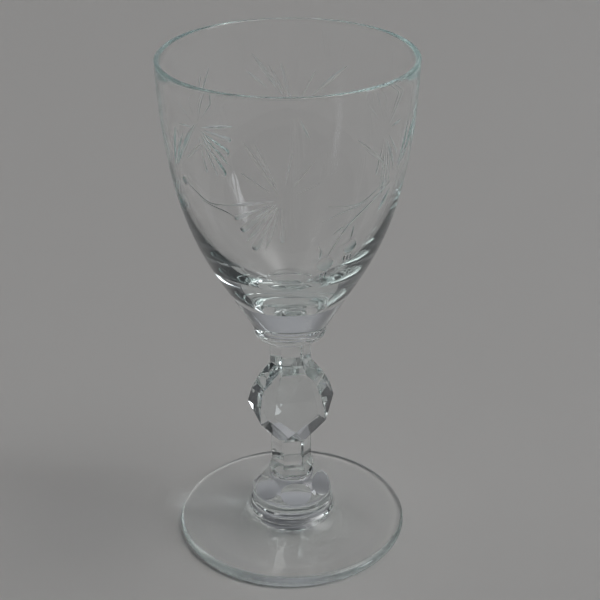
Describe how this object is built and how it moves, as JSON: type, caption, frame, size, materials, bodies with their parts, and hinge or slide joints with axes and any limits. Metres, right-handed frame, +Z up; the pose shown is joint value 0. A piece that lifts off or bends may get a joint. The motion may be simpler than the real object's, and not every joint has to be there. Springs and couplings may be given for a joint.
{
  "type": "stemmed wine glass",
  "caption": "Stemmed wine glass in clear cut glass: deep tulip bowl, button, six-sided cut stem with a faceted knop, and a round foot.",
  "frame": {"origin": "centre of the foot's underside, on the surface that the glass stands on", "axes": "+Z up along the axis of the bowl and stem; +X and +Y are across, with one edge of the six-sided stem 8 degrees round from +X"},
  "size_m": [0.0706, 0.0706, 0.15],
  "materials": {
    "bowl_glass": "clear, fire polished, with matt wheel-cut decoration",
    "stem_glass": "clear, cut and polished",
    "foot_glass": "clear, polished, lightly scratched underneath"
  },
  "bodies": {
    "root": {"foot": "foot_glass", "pedestal": "stem_glass", "stem_collar": "stem_glass", "lower_neck": "stem_glass", "knop": "stem_glass", "upper_neck": "stem_glass", "merese": "bowl_glass", "bowl": "bowl_glass"}
  },
  "joints": []
}
